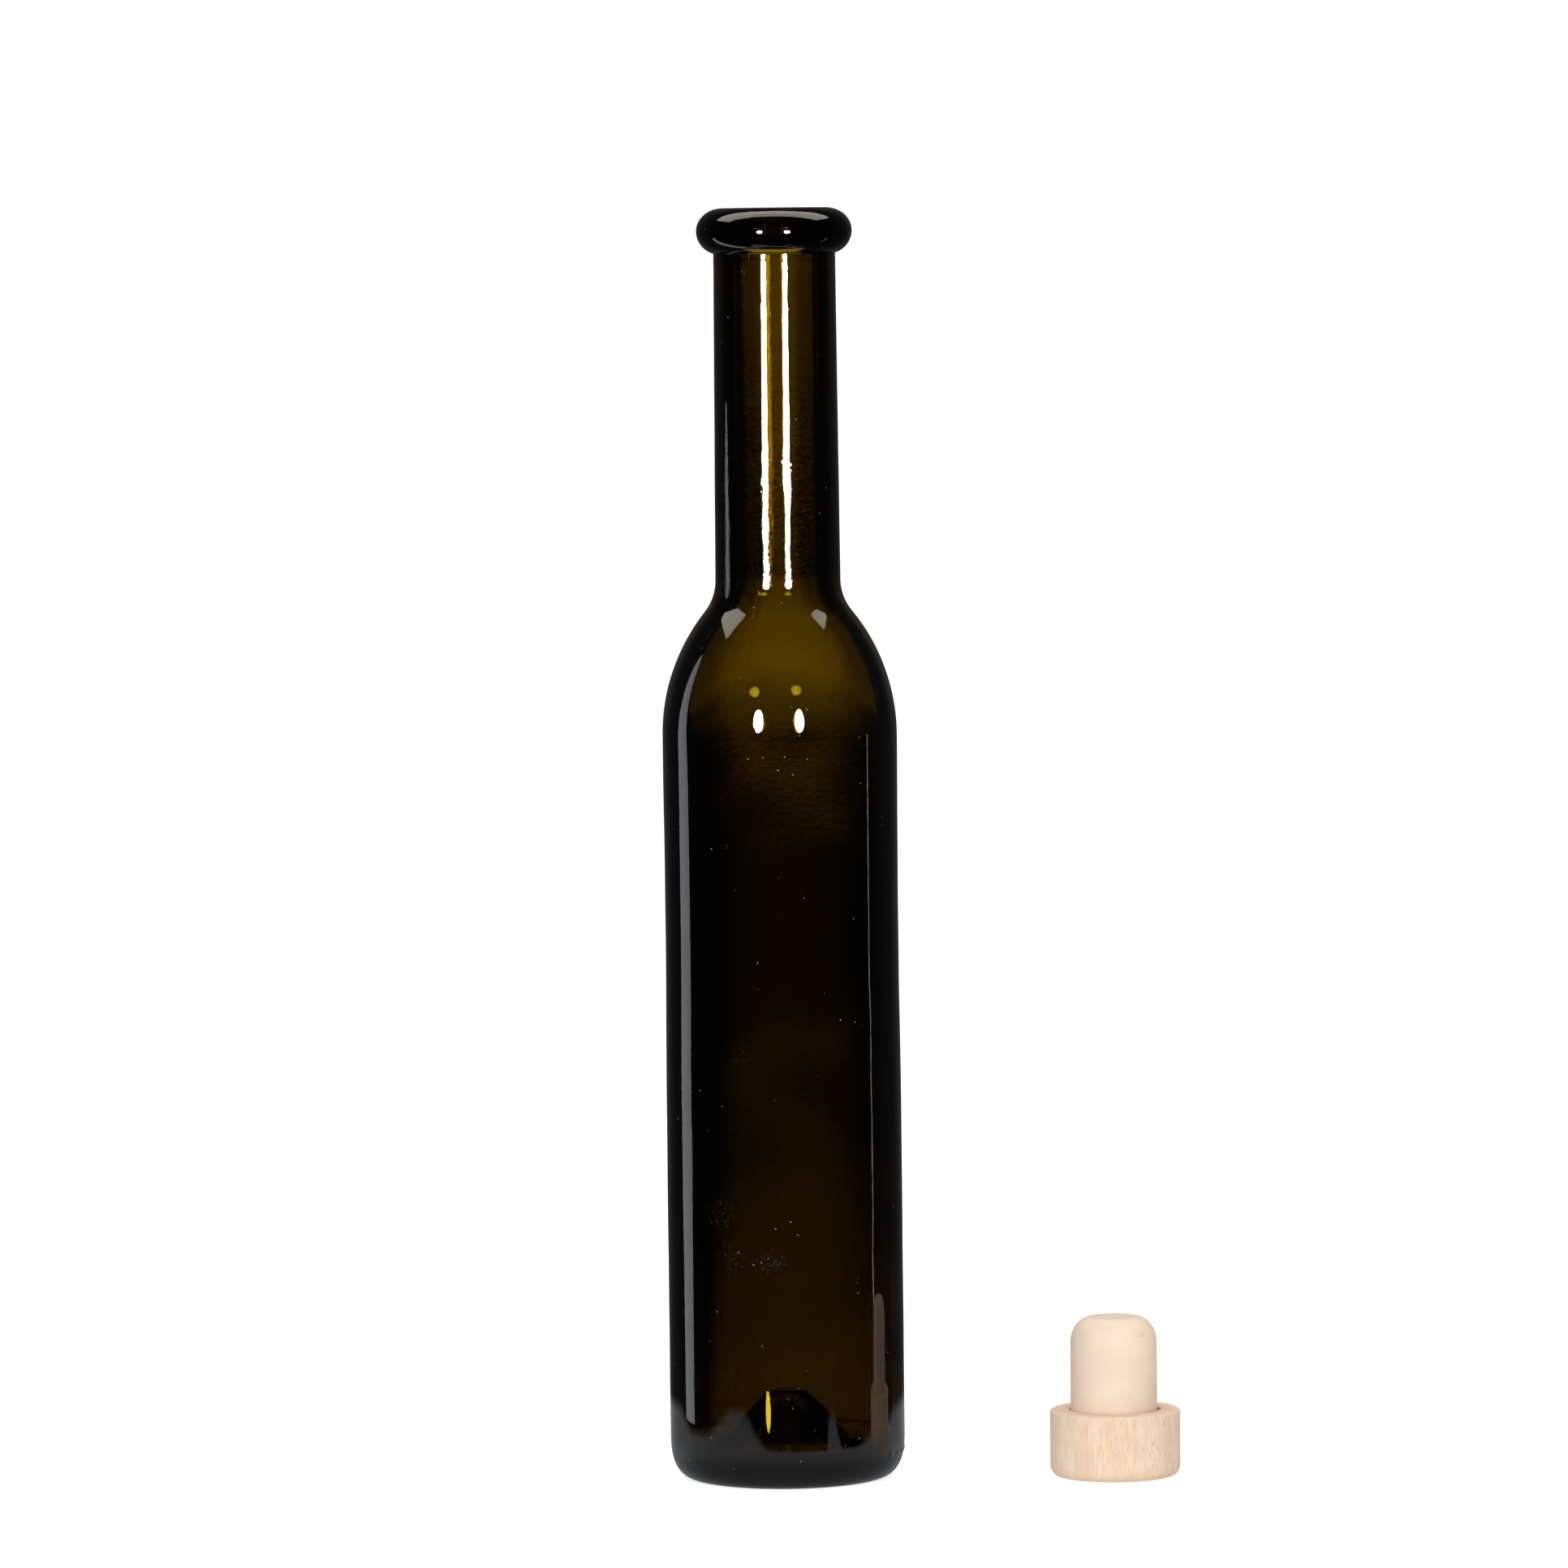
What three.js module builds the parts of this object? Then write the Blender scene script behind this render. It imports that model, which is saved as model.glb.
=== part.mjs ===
// Long-necked bottle of dark green glass with a rolled lip and a pushed-up base, and its stopper:
// a turned wooden head with a smooth plug glued into it, stood on its head beside the bottle.
// Millimetres, +Z up. The origin is on the standing surface, in the middle of both pieces' common box.
import * as THREE from "three";

// Bottle, outside
const HEIGHT = 278.5;
const BODY_RADIUS = 25.75;
const WAIST_RADIUS = 25.5;
const SHOULDER_RADIUS = 25.65;
const WAIST_FROM_Z = 80;
const WAIST_Z = 122;
const SHOULDER_Z = 163.5;
const SHOULDER_ARCH = 43;
const NECK_FILLET = 11;
const NECK_BASE_RADIUS = 13.68;
const NECK_TOP_RADIUS = 13.31;

// Rolled lip: its cross-section is rounder below its widest place than above it
const LIP_RADIUS = 17;
const LIP_RISE = 5;
const LIP_CROWN = 5.7;
const LIP_UNDERSIDE = 5.1;

// Heel, standing ring and the push-up in the middle of the base
const HEEL_HEIGHT = 10;
const HEEL_INSET = 6.4;
const HEEL_SQUARENESS = 2.6;
const PUSH_UP_RADIUS = 17.6;
const PUSH_UP_DEPTH = 13;

// Bottle, inside
const MOUTH_RADIUS = 9.25;
const MOUTH_EDGE = 1;
const NECK_INSIDE_RADIUS = 10.2;
const WALL = 3;
const INNER_FILLET = 13;
const FLOOR_Z = 5.5;
const FLOOR_CROWN_Z = 18;
const FLOOR_CROWN_RADIUS = 19.5;
const FLOOR_CORNER_HEIGHT = 8;

// Stopper
const HEAD_RADIUS = 14.3;
const HEAD_HEIGHT = 14.6;
const HEAD_FACE_INSET = 1.8;
const HEAD_FACE_ROUNDING = 2.4;
const HEAD_RIM_ROUNDING = 0.8;
const RECESS_RADIUS = 10;
const RECESS_DEPTH = 3;
const GLUE_LINE = 0.3;
const PLUG_RADIUS = 9.5;
const PLUG_STAND_OUT = 20.4;
const PLUG_NOSE_INSET = 4.7;
const PLUG_NOSE_HEIGHT = 5.7;
const PLUG_OFF_CENTRE = 0.25;

// The stopper's axis, seen from the bottle's
const STOPPER_TO_THE_SIDE = 71.9;
const STOPPER_IN_FRONT = 3.4;

// Facets round each piece, and steps along the curved stretches of its outline
const BOTTLE_FACETS = 60;
const STOPPER_FACETS = 40;
const BELL_STEPS = 6;
const HEEL_STEPS = 6;
const WAIST_STEPS = 3;
const ARCH_STEPS = 7;
const FILLET_STEPS = 4;
const INNER_ARCH_STEPS = 5;
const INNER_FILLET_STEPS = 3;
const LIP_STEPS = 6;
const FLOOR_CORNER_STEPS = 3;
const NOSE_STEPS = 6;
const HEAD_FACE_STEPS = 4;
const SMALL_EDGE_STEPS = 3;

const QUARTER = Math.PI / 2;

const point = (radius, z) => new THREE.Vector2(radius, z);

// A stretch of an ellipse; angles run from outward (0) to upward (a quarter turn).
function arc(centre, across, up, fromAngle, toAngle, steps) {
  return Array.from({ length: steps + 1 }, (_, i) => {
    const angle = fromAngle + ((toAngle - fromAngle) * i) / steps;
    return point(
      centre.x + across * Math.cos(angle),
      centre.y + up * Math.sin(angle),
    );
  });
}

// A bell that is level on the axis and level again at its foot, from the axis outwards.
function bell(footRadius, footZ, crownZ) {
  return Array.from({ length: BELL_STEPS + 1 }, (_, i) => {
    const share = i / BELL_STEPS;
    const lift = (1 + Math.cos(Math.PI * share)) / 2;
    return point(footRadius * share, footZ + (crownZ - footZ) * lift);
  });
}

// The side easing from one radius to another, without its first point.
function easedSide(fromRadius, toRadius, fromZ, toZ) {
  return Array.from({ length: WAIST_STEPS }, (_, i) => {
    const share = (i + 1) / WAIST_STEPS;
    const ease = (1 - Math.cos(Math.PI * share)) / 2;
    return point(
      fromRadius + (toRadius - fromRadius) * ease,
      fromZ + (toZ - fromZ) * share,
    );
  });
}

// The heel is a quarter of a superellipse, fuller than a plain ellipse near the standing ring.
function heel() {
  const power = 2 / HEEL_SQUARENESS;
  return Array.from({ length: HEEL_STEPS + 1 }, (_, i) => {
    const angle = QUARTER * (1 - i / HEEL_STEPS);
    const outward = Math.cos(angle) ** power;
    const down = Math.sin(angle) ** power;
    return point(
      BODY_RADIUS - HEEL_INSET * (1 - outward),
      HEEL_HEIGHT * (1 - down),
    );
  });
}

// A wide arch off the side of the body, then a hollow fillet that meets both arch and neck smoothly.
function shoulder(sideRadius, neckRadius, arch, fillet) {
  const archCentre = point(sideRadius - arch.radius, SHOULDER_Z);
  const across = neckRadius + fillet.radius - archCentre.x;
  const rise = Math.sqrt((arch.radius + fillet.radius) ** 2 - across ** 2);
  const filletCentre = point(neckRadius + fillet.radius, SHOULDER_Z + rise);
  const meeting = Math.atan2(rise, across);
  return [
    ...arc(archCentre, arch.radius, arch.radius, 0, meeting, arch.steps),
    ...arc(
      filletCentre,
      fillet.radius,
      fillet.radius,
      Math.PI + meeting,
      Math.PI,
      fillet.steps,
    ).slice(1),
  ];
}

function lip() {
  const widestZ = HEIGHT - LIP_RISE;
  const underCentre = point(LIP_RADIUS - LIP_UNDERSIDE, widestZ);
  const overCentre = point(LIP_RADIUS - LIP_CROWN, widestZ);
  const atNeck = Math.acos((NECK_TOP_RADIUS - underCentre.x) / LIP_UNDERSIDE);
  return [
    ...arc(underCentre, LIP_UNDERSIDE, LIP_UNDERSIDE, -atNeck, 0, LIP_STEPS),
    ...arc(overCentre, LIP_CROWN, LIP_RISE, 0, QUARTER, LIP_STEPS).slice(1),
  ];
}

// From the middle of the base's underside, out and up the outside, over the lip and down the inside.
function outsideOutline() {
  return [
    ...bell(PUSH_UP_RADIUS, 0, PUSH_UP_DEPTH),
    ...heel(),
    point(BODY_RADIUS, WAIST_FROM_Z),
    ...easedSide(BODY_RADIUS, WAIST_RADIUS, WAIST_FROM_Z, WAIST_Z),
    ...easedSide(WAIST_RADIUS, SHOULDER_RADIUS, WAIST_Z, SHOULDER_Z),
    ...shoulder(
      SHOULDER_RADIUS,
      NECK_BASE_RADIUS,
      { radius: SHOULDER_ARCH, steps: ARCH_STEPS },
      { radius: NECK_FILLET, steps: FILLET_STEPS },
    ).slice(1),
    ...lip(),
  ];
}

function insideOutline() {
  const insideRadius = SHOULDER_RADIUS - WALL;
  const mouthEdge = point(MOUTH_RADIUS + MOUTH_EDGE, HEIGHT - MOUTH_EDGE);
  const cornerInset = insideRadius - FLOOR_CROWN_RADIUS;
  const corner = point(FLOOR_CROWN_RADIUS, FLOOR_Z + FLOOR_CORNER_HEIGHT);
  return [
    ...arc(mouthEdge, MOUTH_EDGE, MOUTH_EDGE, QUARTER, Math.PI, SMALL_EDGE_STEPS),
    ...shoulder(
      insideRadius,
      NECK_INSIDE_RADIUS,
      { radius: SHOULDER_ARCH - WALL, steps: INNER_ARCH_STEPS },
      { radius: INNER_FILLET, steps: INNER_FILLET_STEPS },
    ).reverse(),
    ...arc(corner, cornerInset, FLOOR_CORNER_HEIGHT, 0, -QUARTER, FLOOR_CORNER_STEPS),
    ...bell(FLOOR_CROWN_RADIUS, FLOOR_Z, FLOOR_CROWN_Z).reverse().slice(1),
  ];
}

// Stood upside down: the face that shows when the bottle is shut is on the ground.
function headOutline() {
  const face = point(HEAD_RADIUS - HEAD_FACE_INSET, HEAD_FACE_ROUNDING);
  const rim = point(
    HEAD_RADIUS - HEAD_RIM_ROUNDING,
    HEAD_HEIGHT - HEAD_RIM_ROUNDING,
  );
  return [
    point(0, 0),
    ...arc(face, HEAD_FACE_INSET, HEAD_FACE_ROUNDING, -QUARTER, 0, HEAD_FACE_STEPS),
    ...arc(rim, HEAD_RIM_ROUNDING, HEAD_RIM_ROUNDING, 0, QUARTER, SMALL_EDGE_STEPS),
    point(RECESS_RADIUS, HEAD_HEIGHT),
    point(RECESS_RADIUS, HEAD_HEIGHT - RECESS_DEPTH),
    point(0, HEAD_HEIGHT - RECESS_DEPTH),
  ];
}

function plugOutline() {
  const foot = HEAD_HEIGHT - RECESS_DEPTH + GLUE_LINE;
  const top = HEAD_HEIGHT + PLUG_STAND_OUT;
  const nose = point(PLUG_RADIUS - PLUG_NOSE_INSET, top - PLUG_NOSE_HEIGHT);
  return [
    point(0, foot),
    point(PLUG_RADIUS, foot),
    ...arc(nose, PLUG_NOSE_INSET, PLUG_NOSE_HEIGHT, 0, QUARTER, NOSE_STEPS),
    point(0, top),
  ];
}

// A solid of revolution about +Z.
function turned(name, outline, facets, material) {
  const geometry = new THREE.LatheGeometry(outline, facets);
  geometry.rotateX(Math.PI / 2);
  const mesh = new THREE.Mesh(geometry, material);
  mesh.name = name;
  return mesh;
}

const glass = new THREE.MeshStandardMaterial({
  color: 0x2a2810,
  roughness: 0.05,
  metalness: 0,
  transparent: true,
  opacity: 0.85,
});
const beech = new THREE.MeshStandardMaterial({
  color: 0xcdb08a,
  roughness: 0.6,
  metalness: 0,
});
const plugMaterial = new THREE.MeshStandardMaterial({
  color: 0xd9c9ae,
  roughness: 0.55,
  metalness: 0,
});

const bottle = turned(
  "bottle",
  [...outsideOutline(), ...insideOutline()],
  BOTTLE_FACETS,
  glass,
);
bottle.position.x = (BODY_RADIUS - HEAD_RADIUS - STOPPER_TO_THE_SIDE) / 2;

const head = turned("stopper_head", headOutline(), STOPPER_FACETS, beech);
const plug = turned(
  "stopper_plug",
  plugOutline(),
  STOPPER_FACETS,
  plugMaterial,
);
plug.position.x = -PLUG_OFF_CENTRE;

const stopper = new THREE.Group();
stopper.position.x = bottle.position.x + STOPPER_TO_THE_SIDE;
stopper.position.y = -STOPPER_IN_FRONT;
stopper.add(head, plug);

const glassBottle = new THREE.Group();
glassBottle.add(bottle, stopper);

export default glassBottle;
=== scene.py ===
import math

import bmesh
import bpy
from mathutils import Matrix, Vector, noise


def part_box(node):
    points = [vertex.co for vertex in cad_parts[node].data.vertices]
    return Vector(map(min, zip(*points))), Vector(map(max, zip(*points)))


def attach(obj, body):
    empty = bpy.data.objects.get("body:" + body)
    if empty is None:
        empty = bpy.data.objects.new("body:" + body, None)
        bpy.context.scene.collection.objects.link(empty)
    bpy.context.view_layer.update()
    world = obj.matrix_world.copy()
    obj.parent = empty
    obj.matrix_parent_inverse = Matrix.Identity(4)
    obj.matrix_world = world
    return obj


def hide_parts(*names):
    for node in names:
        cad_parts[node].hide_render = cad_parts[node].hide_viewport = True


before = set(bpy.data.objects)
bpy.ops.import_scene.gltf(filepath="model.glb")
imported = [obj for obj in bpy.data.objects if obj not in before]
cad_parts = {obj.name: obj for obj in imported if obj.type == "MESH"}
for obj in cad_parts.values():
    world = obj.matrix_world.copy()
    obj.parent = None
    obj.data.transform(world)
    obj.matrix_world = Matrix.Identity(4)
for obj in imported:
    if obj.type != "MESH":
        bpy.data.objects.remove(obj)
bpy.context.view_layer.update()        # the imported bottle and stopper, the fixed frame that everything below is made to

MM = 0.001
TINY = 1e-6
QUARTER = math.pi / 2

# The frame's own places in metres, and its sizes in millimetres
glass_low, glass_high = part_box("bottle")
head_low, head_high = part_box("stopper_head")
plug_low, plug_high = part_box("stopper_plug")

BOTTLE_AXIS = (glass_low + glass_high) / 2
HEAD_AXIS = (head_low + head_high) / 2
PLUG_AXIS = (plug_low + plug_high) / 2
HEIGHT = glass_high.z / MM
BODY_RADIUS = (glass_high.x - glass_low.x) / 2 / MM
HEAD_RADIUS = (head_high.x - head_low.x) / 2 / MM
HEAD_HEIGHT = head_high.z / MM
PLUG_RADIUS = (plug_high.x - plug_low.x) / 2 / MM
PLUG_FOOT = plug_low.z / MM
PLUG_TOP = plug_high.z / MM

# Bottle, outside
WAIST_RADIUS = 25.5
SHOULDER_RADIUS = 25.65
WAIST_FROM_Z = 80
WAIST_Z = 122
SHOULDER_Z = 163.5
SHOULDER_ARCH = 43
NECK_FILLET = 11
NECK_BASE_RADIUS = 13.68
NECK_TOP_RADIUS = 13.31
LIP_RADIUS = 17
LIP_RISE = 5
LIP_CROWN = 5.7
LIP_UNDERSIDE = 5.1
HEEL_HEIGHT = 10
HEEL_INSET = 6.4
HEEL_SQUARENESS = 2.6
PUSH_UP_RADIUS = 17.6
PUSH_UP_DEPTH = 13

# Bottle, inside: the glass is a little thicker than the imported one, for the darkness that it has
MOUTH_RADIUS = 9.25
MOUTH_EDGE = 1
NECK_INSIDE_RADIUS = 9.4
WALL = 3.4
INNER_FILLET = 13
FLOOR_Z = 6
FLOOR_CROWN_Z = 20
FLOOR_CROWN_RADIUS = 18.5
FLOOR_CROWN_FULLNESS = 1.15
FLOOR_CORNER_HEIGHT = 5

# The crease where the lip sits on the neck: rows at these depths under it, and a small rounding
CREASE_DEPTHS = (3.0, 2.4, 2.0, 1.7, 1.4, 1.0, 0.5, 0.2, 0.08)
CREASE_OUT = 0.04
CREASE_UP = 0.01

# Columns round the glass, and the longest step along its outline
COLUMNS = 150
ROW_STRIDE = 2.0

# Waves that blowing leaves, outside and inside: height, length, and where they die out
OUTER_RIPPLE = 0.045
OUTER_RIPPLE_SIZE = 14
OUTER_RIPPLE_SEED = 3.1
OUTER_CALM_TO_Z = (2, 14)
INNER_RIPPLE = 0.1
INNER_RIPPLE_SIZE = 20
INNER_RIPPLE_SEED = 7.7
INNER_RIPPLE_DRAWN = 0.25
INNER_CALM_TO_DEPTH = (3, 12)

# The inside stands a little aside of the outside
WALL_LEAN = 0.2
WALL_LEAN_TURN = 0.9
WALL_LEAN_FROM_RADIUS = (4, 9)

# Two seams from the heel to under the lip, faint except on the shoulder and the foot of the neck
SEAM_ANGLES = (math.radians(-108), math.radians(72))
SEAM_HEIGHT = 0.014
SEAM_WIDTH = math.radians(0.45)
SEAM_FAINTNESS = 0.25
SEAM_STARTS = (6, 12)
SEAM_CLEARS = (165, 172)
SEAM_FADES = (192, 200)
SEAM_ENDS = (262, 266)
SEAM_COLUMNS = (-2, -1, -0.5, 0, 0.5, 1, 2)

# The low ring that the neck's mould leaves under the lip
PARTING_BELOW_LIP = 1.6
PARTING_HEIGHT = 0.03
PARTING_WIDTH = 0.25

# Small raised dots round the heel
HEEL_DOT_COUNT = 6
HEEL_DOT_FIRST = -28
HEEL_DOT_STEP = 7.6
HEEL_DOT_ANGLES = [math.radians(HEEL_DOT_FIRST + HEEL_DOT_STEP * i) for i in range(HEEL_DOT_COUNT)]
HEEL_DOT_Z = 6.2
HEEL_DOT_HEIGHT = 0.22
HEEL_DOT_TALL = 0.5
HEEL_DOT_WIDE = math.radians(0.85)
HEEL_DOT_REACH = 2
HEEL_DOT_COLUMNS = (-1.6, -1, -0.5, 0, 0.5, 1, 1.6)

# Faint scuffs on the side of the glass: to the right of its middle, height, reach, in millimetres.
# One that lies above the shoulder's rise is on the neck.
SCUFFS = ((-11.5, 51, 5), (-14, 60, 5), (-3, 50, 5), (2.5, 229, 4), (-9.5, 95, 2.5))
SHOULDER_RISE = 30

# Stopper
HEAD_FACE_INSET = 1.8
HEAD_FACE_ROUNDING = 2.4
HEAD_RIM_ROUNDING = 0.8
RECESS_RADIUS = 10
RECESS_DEPTH = 3
RECESS_EDGE = 0.25
RECESS_CORNER = 0.1
PLUG_NOSE_INSET = 4.7
PLUG_NOSE_HEIGHT = 5.7
PLUG_FOOT_BEVEL = 0.2
PLUG_LEAN = 0.004
STOPPER_COLUMNS = 144
STOPPER_STRIDE = 0.8

# How far from round the head and the plug are, and the grain that stands up on the head
HEAD_RIPPLE = 0.03
HEAD_RIPPLE_SIZE = 6
HEAD_RIPPLE_SEED = 11.3
RAISED_GRAIN = 0.012
RAISED_GRAIN_SIZE = 0.9
RAISED_GRAIN_SEED = 21.7
RAISED_GRAIN_DRAWN = 0.2
PLUG_RIPPLE = 0.04
PLUG_RIPPLE_SIZE = 8
PLUG_RIPPLE_SEED = 31.9

# Steps along the curved stretches of the outlines
BELL_STEPS = 20
HEEL_STEPS = 44
SIDE_STEPS = 12
ARCH_STEPS = 26
FILLET_STEPS = 12
UNDER_LIP_STEPS = 16
OVER_LIP_STEPS = 18
MOUTH_STEPS = 8
FLOOR_CORNER_STEPS = 12
HEAD_FACE_STEPS = 14
HEAD_RIM_STEPS = 8
RECESS_EDGE_STEPS = 4
PLUG_NOSE_STEPS = 24


# Outlines are lists of (radius, height) in millimetres

def arc(centre, across, up, start, end, steps):
    """A stretch of an ellipse; angles run from outward (0) to upward (a quarter turn)."""
    points = []
    for i in range(steps + 1):
        angle = start + (end - start) * i / steps
        points.append((centre[0] + across * math.cos(angle), centre[1] + up * math.sin(angle)))
    return points


def bell(foot_radius, foot_z, crown_z, fullness=1.0):
    """Level on the axis and level again at its foot, from the axis outwards."""
    points = []
    for i in range(BELL_STEPS + 1):
        share = i / BELL_STEPS
        lift = (1 + math.cos(math.pi * share ** fullness)) / 2
        points.append((foot_radius * share, foot_z + (crown_z - foot_z) * lift))
    return points


def eased_side(start_radius, end_radius, start_z, end_z):
    """The side easing from one radius to another, without its first point."""
    points = []
    for i in range(1, SIDE_STEPS + 1):
        share = i / SIDE_STEPS
        ease = (1 - math.cos(math.pi * share)) / 2
        points.append((start_radius + (end_radius - start_radius) * ease,
                       start_z + (end_z - start_z) * share))
    return points


def heel():
    """A quarter of a superellipse, fuller than a plain ellipse near the standing ring."""
    power = 2 / HEEL_SQUARENESS
    points = []
    for i in range(HEEL_STEPS + 1):
        angle = QUARTER * (1 - i / HEEL_STEPS)
        outward = max(math.cos(angle), 0) ** power
        down = math.sin(angle) ** power
        points.append((BODY_RADIUS - HEEL_INSET * (1 - outward), HEEL_HEIGHT * (1 - down)))
    return points


def shoulder(side_radius, neck_radius, arch, fillet):
    """A wide arch off the side, then a hollow fillet that meets both arch and neck smoothly."""
    arch_centre = (side_radius - arch, SHOULDER_Z)
    across = neck_radius + fillet - arch_centre[0]
    rise = math.sqrt((arch + fillet) ** 2 - across ** 2)
    fillet_centre = (neck_radius + fillet, SHOULDER_Z + rise)
    meeting = math.atan2(rise, across)
    over = arc(arch_centre, arch, arch, 0, meeting, ARCH_STEPS)
    return over + arc(fillet_centre, fillet, fillet, math.pi + meeting, math.pi, FILLET_STEPS)[1:]


def lip():
    """Rounder below its widest place than above it, and creased where it meets the neck."""
    widest_z = HEIGHT - LIP_RISE
    under = (LIP_RADIUS - LIP_UNDERSIDE, widest_z)
    over = (LIP_RADIUS - LIP_CROWN, widest_z)
    at_neck = math.acos((NECK_TOP_RADIUS - under[0]) / LIP_UNDERSIDE)
    below = arc(under, LIP_UNDERSIDE, LIP_UNDERSIDE, -at_neck, 0, UNDER_LIP_STEPS)
    above = arc(over, LIP_CROWN, LIP_RISE, 0, QUARTER, OVER_LIP_STEPS)
    corner_radius, corner_z = below[0]
    crease = [(NECK_TOP_RADIUS, corner_z - depth) for depth in CREASE_DEPTHS]
    crease_end = (corner_radius + CREASE_OUT, corner_z + CREASE_UP)
    return [*crease, crease_end, *below[1:], *above[1:]]


def glass_outside():
    """From the middle of the base's underside, out, up the side and over the lip."""
    return [
        *bell(PUSH_UP_RADIUS, 0, PUSH_UP_DEPTH),
        *heel(),
        (BODY_RADIUS, WAIST_FROM_Z),
        *eased_side(BODY_RADIUS, WAIST_RADIUS, WAIST_FROM_Z, WAIST_Z),
        *eased_side(WAIST_RADIUS, SHOULDER_RADIUS, WAIST_Z, SHOULDER_Z),
        *shoulder(SHOULDER_RADIUS, NECK_BASE_RADIUS, SHOULDER_ARCH, NECK_FILLET)[1:],
        *lip(),
    ]


def glass_inside():
    """From the mouth, down the inside to the middle of the floor."""
    side_radius = SHOULDER_RADIUS - WALL
    edge = (MOUTH_RADIUS + MOUTH_EDGE, HEIGHT - MOUTH_EDGE)
    over = shoulder(side_radius, NECK_INSIDE_RADIUS, SHOULDER_ARCH - WALL, INNER_FILLET)
    corner = (FLOOR_CROWN_RADIUS, FLOOR_Z + FLOOR_CORNER_HEIGHT)
    across = side_radius - FLOOR_CROWN_RADIUS
    crown = bell(FLOOR_CROWN_RADIUS, FLOOR_Z, FLOOR_CROWN_Z, FLOOR_CROWN_FULLNESS)[::-1]
    return [
        *arc(edge, MOUTH_EDGE, MOUTH_EDGE, QUARTER, math.pi, MOUTH_STEPS),
        *over[::-1],
        *arc(corner, across, FLOOR_CORNER_HEIGHT, 0, -QUARTER, FLOOR_CORNER_STEPS),
        *crown[1:],
    ]


def head_outline():
    """Stood upside down: the face that shows when the bottle is shut is on the ground."""
    face = (HEAD_RADIUS - HEAD_FACE_INSET, HEAD_FACE_ROUNDING)
    rim = (HEAD_RADIUS - HEAD_RIM_ROUNDING, HEAD_HEIGHT - HEAD_RIM_ROUNDING)
    recess_edge = (RECESS_RADIUS + RECESS_EDGE, HEAD_HEIGHT - RECESS_EDGE)
    recess_floor = HEAD_HEIGHT - RECESS_DEPTH
    return [
        (0, 0),
        *arc(face, HEAD_FACE_INSET, HEAD_FACE_ROUNDING, -QUARTER, 0, HEAD_FACE_STEPS),
        *arc(rim, HEAD_RIM_ROUNDING, HEAD_RIM_ROUNDING, 0, QUARTER, HEAD_RIM_STEPS),
        *arc(recess_edge, RECESS_EDGE, RECESS_EDGE, QUARTER, math.pi, RECESS_EDGE_STEPS),
        (RECESS_RADIUS, recess_floor + RECESS_CORNER),
        (RECESS_RADIUS - RECESS_CORNER, recess_floor),
        (0, recess_floor),
    ]


def plug_outline():
    nose = (PLUG_RADIUS - PLUG_NOSE_INSET, PLUG_TOP - PLUG_NOSE_HEIGHT)
    return [
        (0, PLUG_FOOT),
        (PLUG_RADIUS - PLUG_FOOT_BEVEL, PLUG_FOOT),
        (PLUG_RADIUS, PLUG_FOOT + PLUG_FOOT_BEVEL),
        *arc(nose, PLUG_NOSE_INSET, PLUG_NOSE_HEIGHT, 0, QUARTER, PLUG_NOSE_STEPS),
        (0, PLUG_TOP),
    ]


def walked(outline, stride):
    """The same outline with no step longer than the stride."""
    points = [outline[0]]
    for before, after in zip(outline, outline[1:]):
        length = math.dist(before, after)
        if length < TINY:
            continue
        pieces = max(1, math.ceil(length / stride))
        for i in range(1, pieces + 1):
            share = i / pieces
            points.append((before[0] + (after[0] - before[0]) * share,
                           before[1] + (after[1] - before[1]) * share))
    return points


# Meshes

def even_angles(count):
    return [2 * math.pi * i / count for i in range(count)]


def smooth_step(value, low, high):
    share = min(max((value - low) / (high - low), 0), 1)
    return share * share * (3 - 2 * share)


def turned_mesh(name, rows, angles, place):
    """A closed skin of rows round an axis; place gives a point's (x, y, z) in metres."""
    mesh = bmesh.new()
    rings = []
    for index, row in enumerate(rows):
        if row[0] < TINY:
            rings.append([mesh.verts.new(place(index, row, 0.0))])
        else:
            rings.append([mesh.verts.new(place(index, row, angle)) for angle in angles])
    for lower, upper in zip(rings, rings[1:]):
        for i in range(len(angles)):
            after = (i + 1) % len(angles)
            if len(lower) == 1:
                mesh.faces.new((lower[0], upper[after], upper[i]))
            elif len(upper) == 1:
                mesh.faces.new((lower[i], lower[after], upper[0]))
            else:
                mesh.faces.new((lower[i], lower[after], upper[after], upper[i]))
    bmesh.ops.recalc_face_normals(mesh, faces=mesh.faces)
    data = bpy.data.meshes.new(name)
    mesh.to_mesh(data)
    mesh.free()
    data.polygons.foreach_set("use_smooth", [True] * len(data.polygons))
    piece = bpy.data.objects.new(name, data)
    bpy.context.scene.collection.objects.link(piece)
    return piece


def set_round(axis, radius, angle, z):
    """A place in metres, from a radius and height in millimetres round an upright axis."""
    return (axis.x + radius * math.cos(angle) * MM, axis.y + radius * math.sin(angle) * MM, z * MM)


def ripple(radius, angle, z, size, seed):
    """Gentle unevenness, from about -1 to 1, the same in every run."""
    return noise.noise(Vector((radius * math.cos(angle) / size + seed,
                               radius * math.sin(angle) / size, z / size)))


def turn_between(angle, other):
    return abs((angle - other + math.pi) % (2 * math.pi) - math.pi)


def seam_lift(angle, z):
    """The two lines that the halves of the mould leave, from the heel up to the lip."""
    fade = smooth_step(z, *SEAM_STARTS) * (1 - smooth_step(z, *SEAM_ENDS))
    clear = smooth_step(z, *SEAM_CLEARS) * (1 - smooth_step(z, *SEAM_FADES))
    fade *= SEAM_FAINTNESS + (1 - SEAM_FAINTNESS) * clear
    nearest = min(turn_between(angle, seam) for seam in SEAM_ANGLES)
    return SEAM_HEIGHT * fade * math.exp(-(nearest / SEAM_WIDTH) ** 2)


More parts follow.
